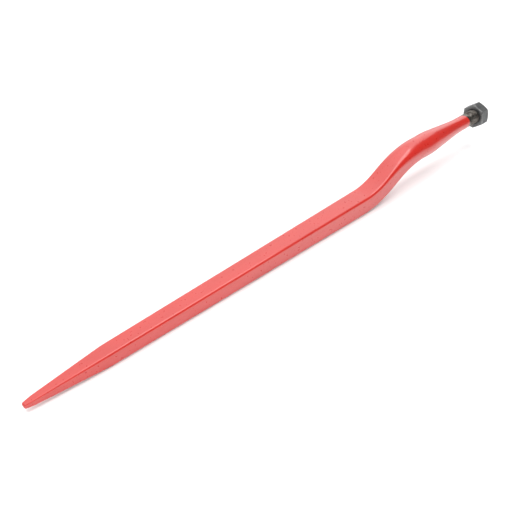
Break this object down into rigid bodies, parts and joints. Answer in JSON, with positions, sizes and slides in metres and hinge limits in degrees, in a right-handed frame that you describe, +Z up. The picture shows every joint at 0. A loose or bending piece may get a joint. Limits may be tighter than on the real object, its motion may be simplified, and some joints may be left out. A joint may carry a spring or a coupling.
{
  "type": "bale spear",
  "caption": "Cranked loader tine: blunt point, long square-section body, S-bend, round necked shank and threaded stud, with its hexagon nut.",
  "frame": {"origin": "bottom centre of the part's box, on the plane of the body's flat underside", "axes": "+X along the tine from its point to the threaded end, +Z up, out of the body's upper face and the way the crank rises, +Y across the body"},
  "size_m": [0.82, 0.0372, 0.0728],
  "materials": {
    "red_paint": "glossy red paint over forged steel, bare at the stud",
    "dark_steel": "dark phosphated steel, satin",
    "bare_steel": "bare turned steel with a rolled thread"
  },
  "bodies": {
    "root": {"spear": "red_paint", "hex_nut": "dark_steel"}
  },
  "joints": []
}
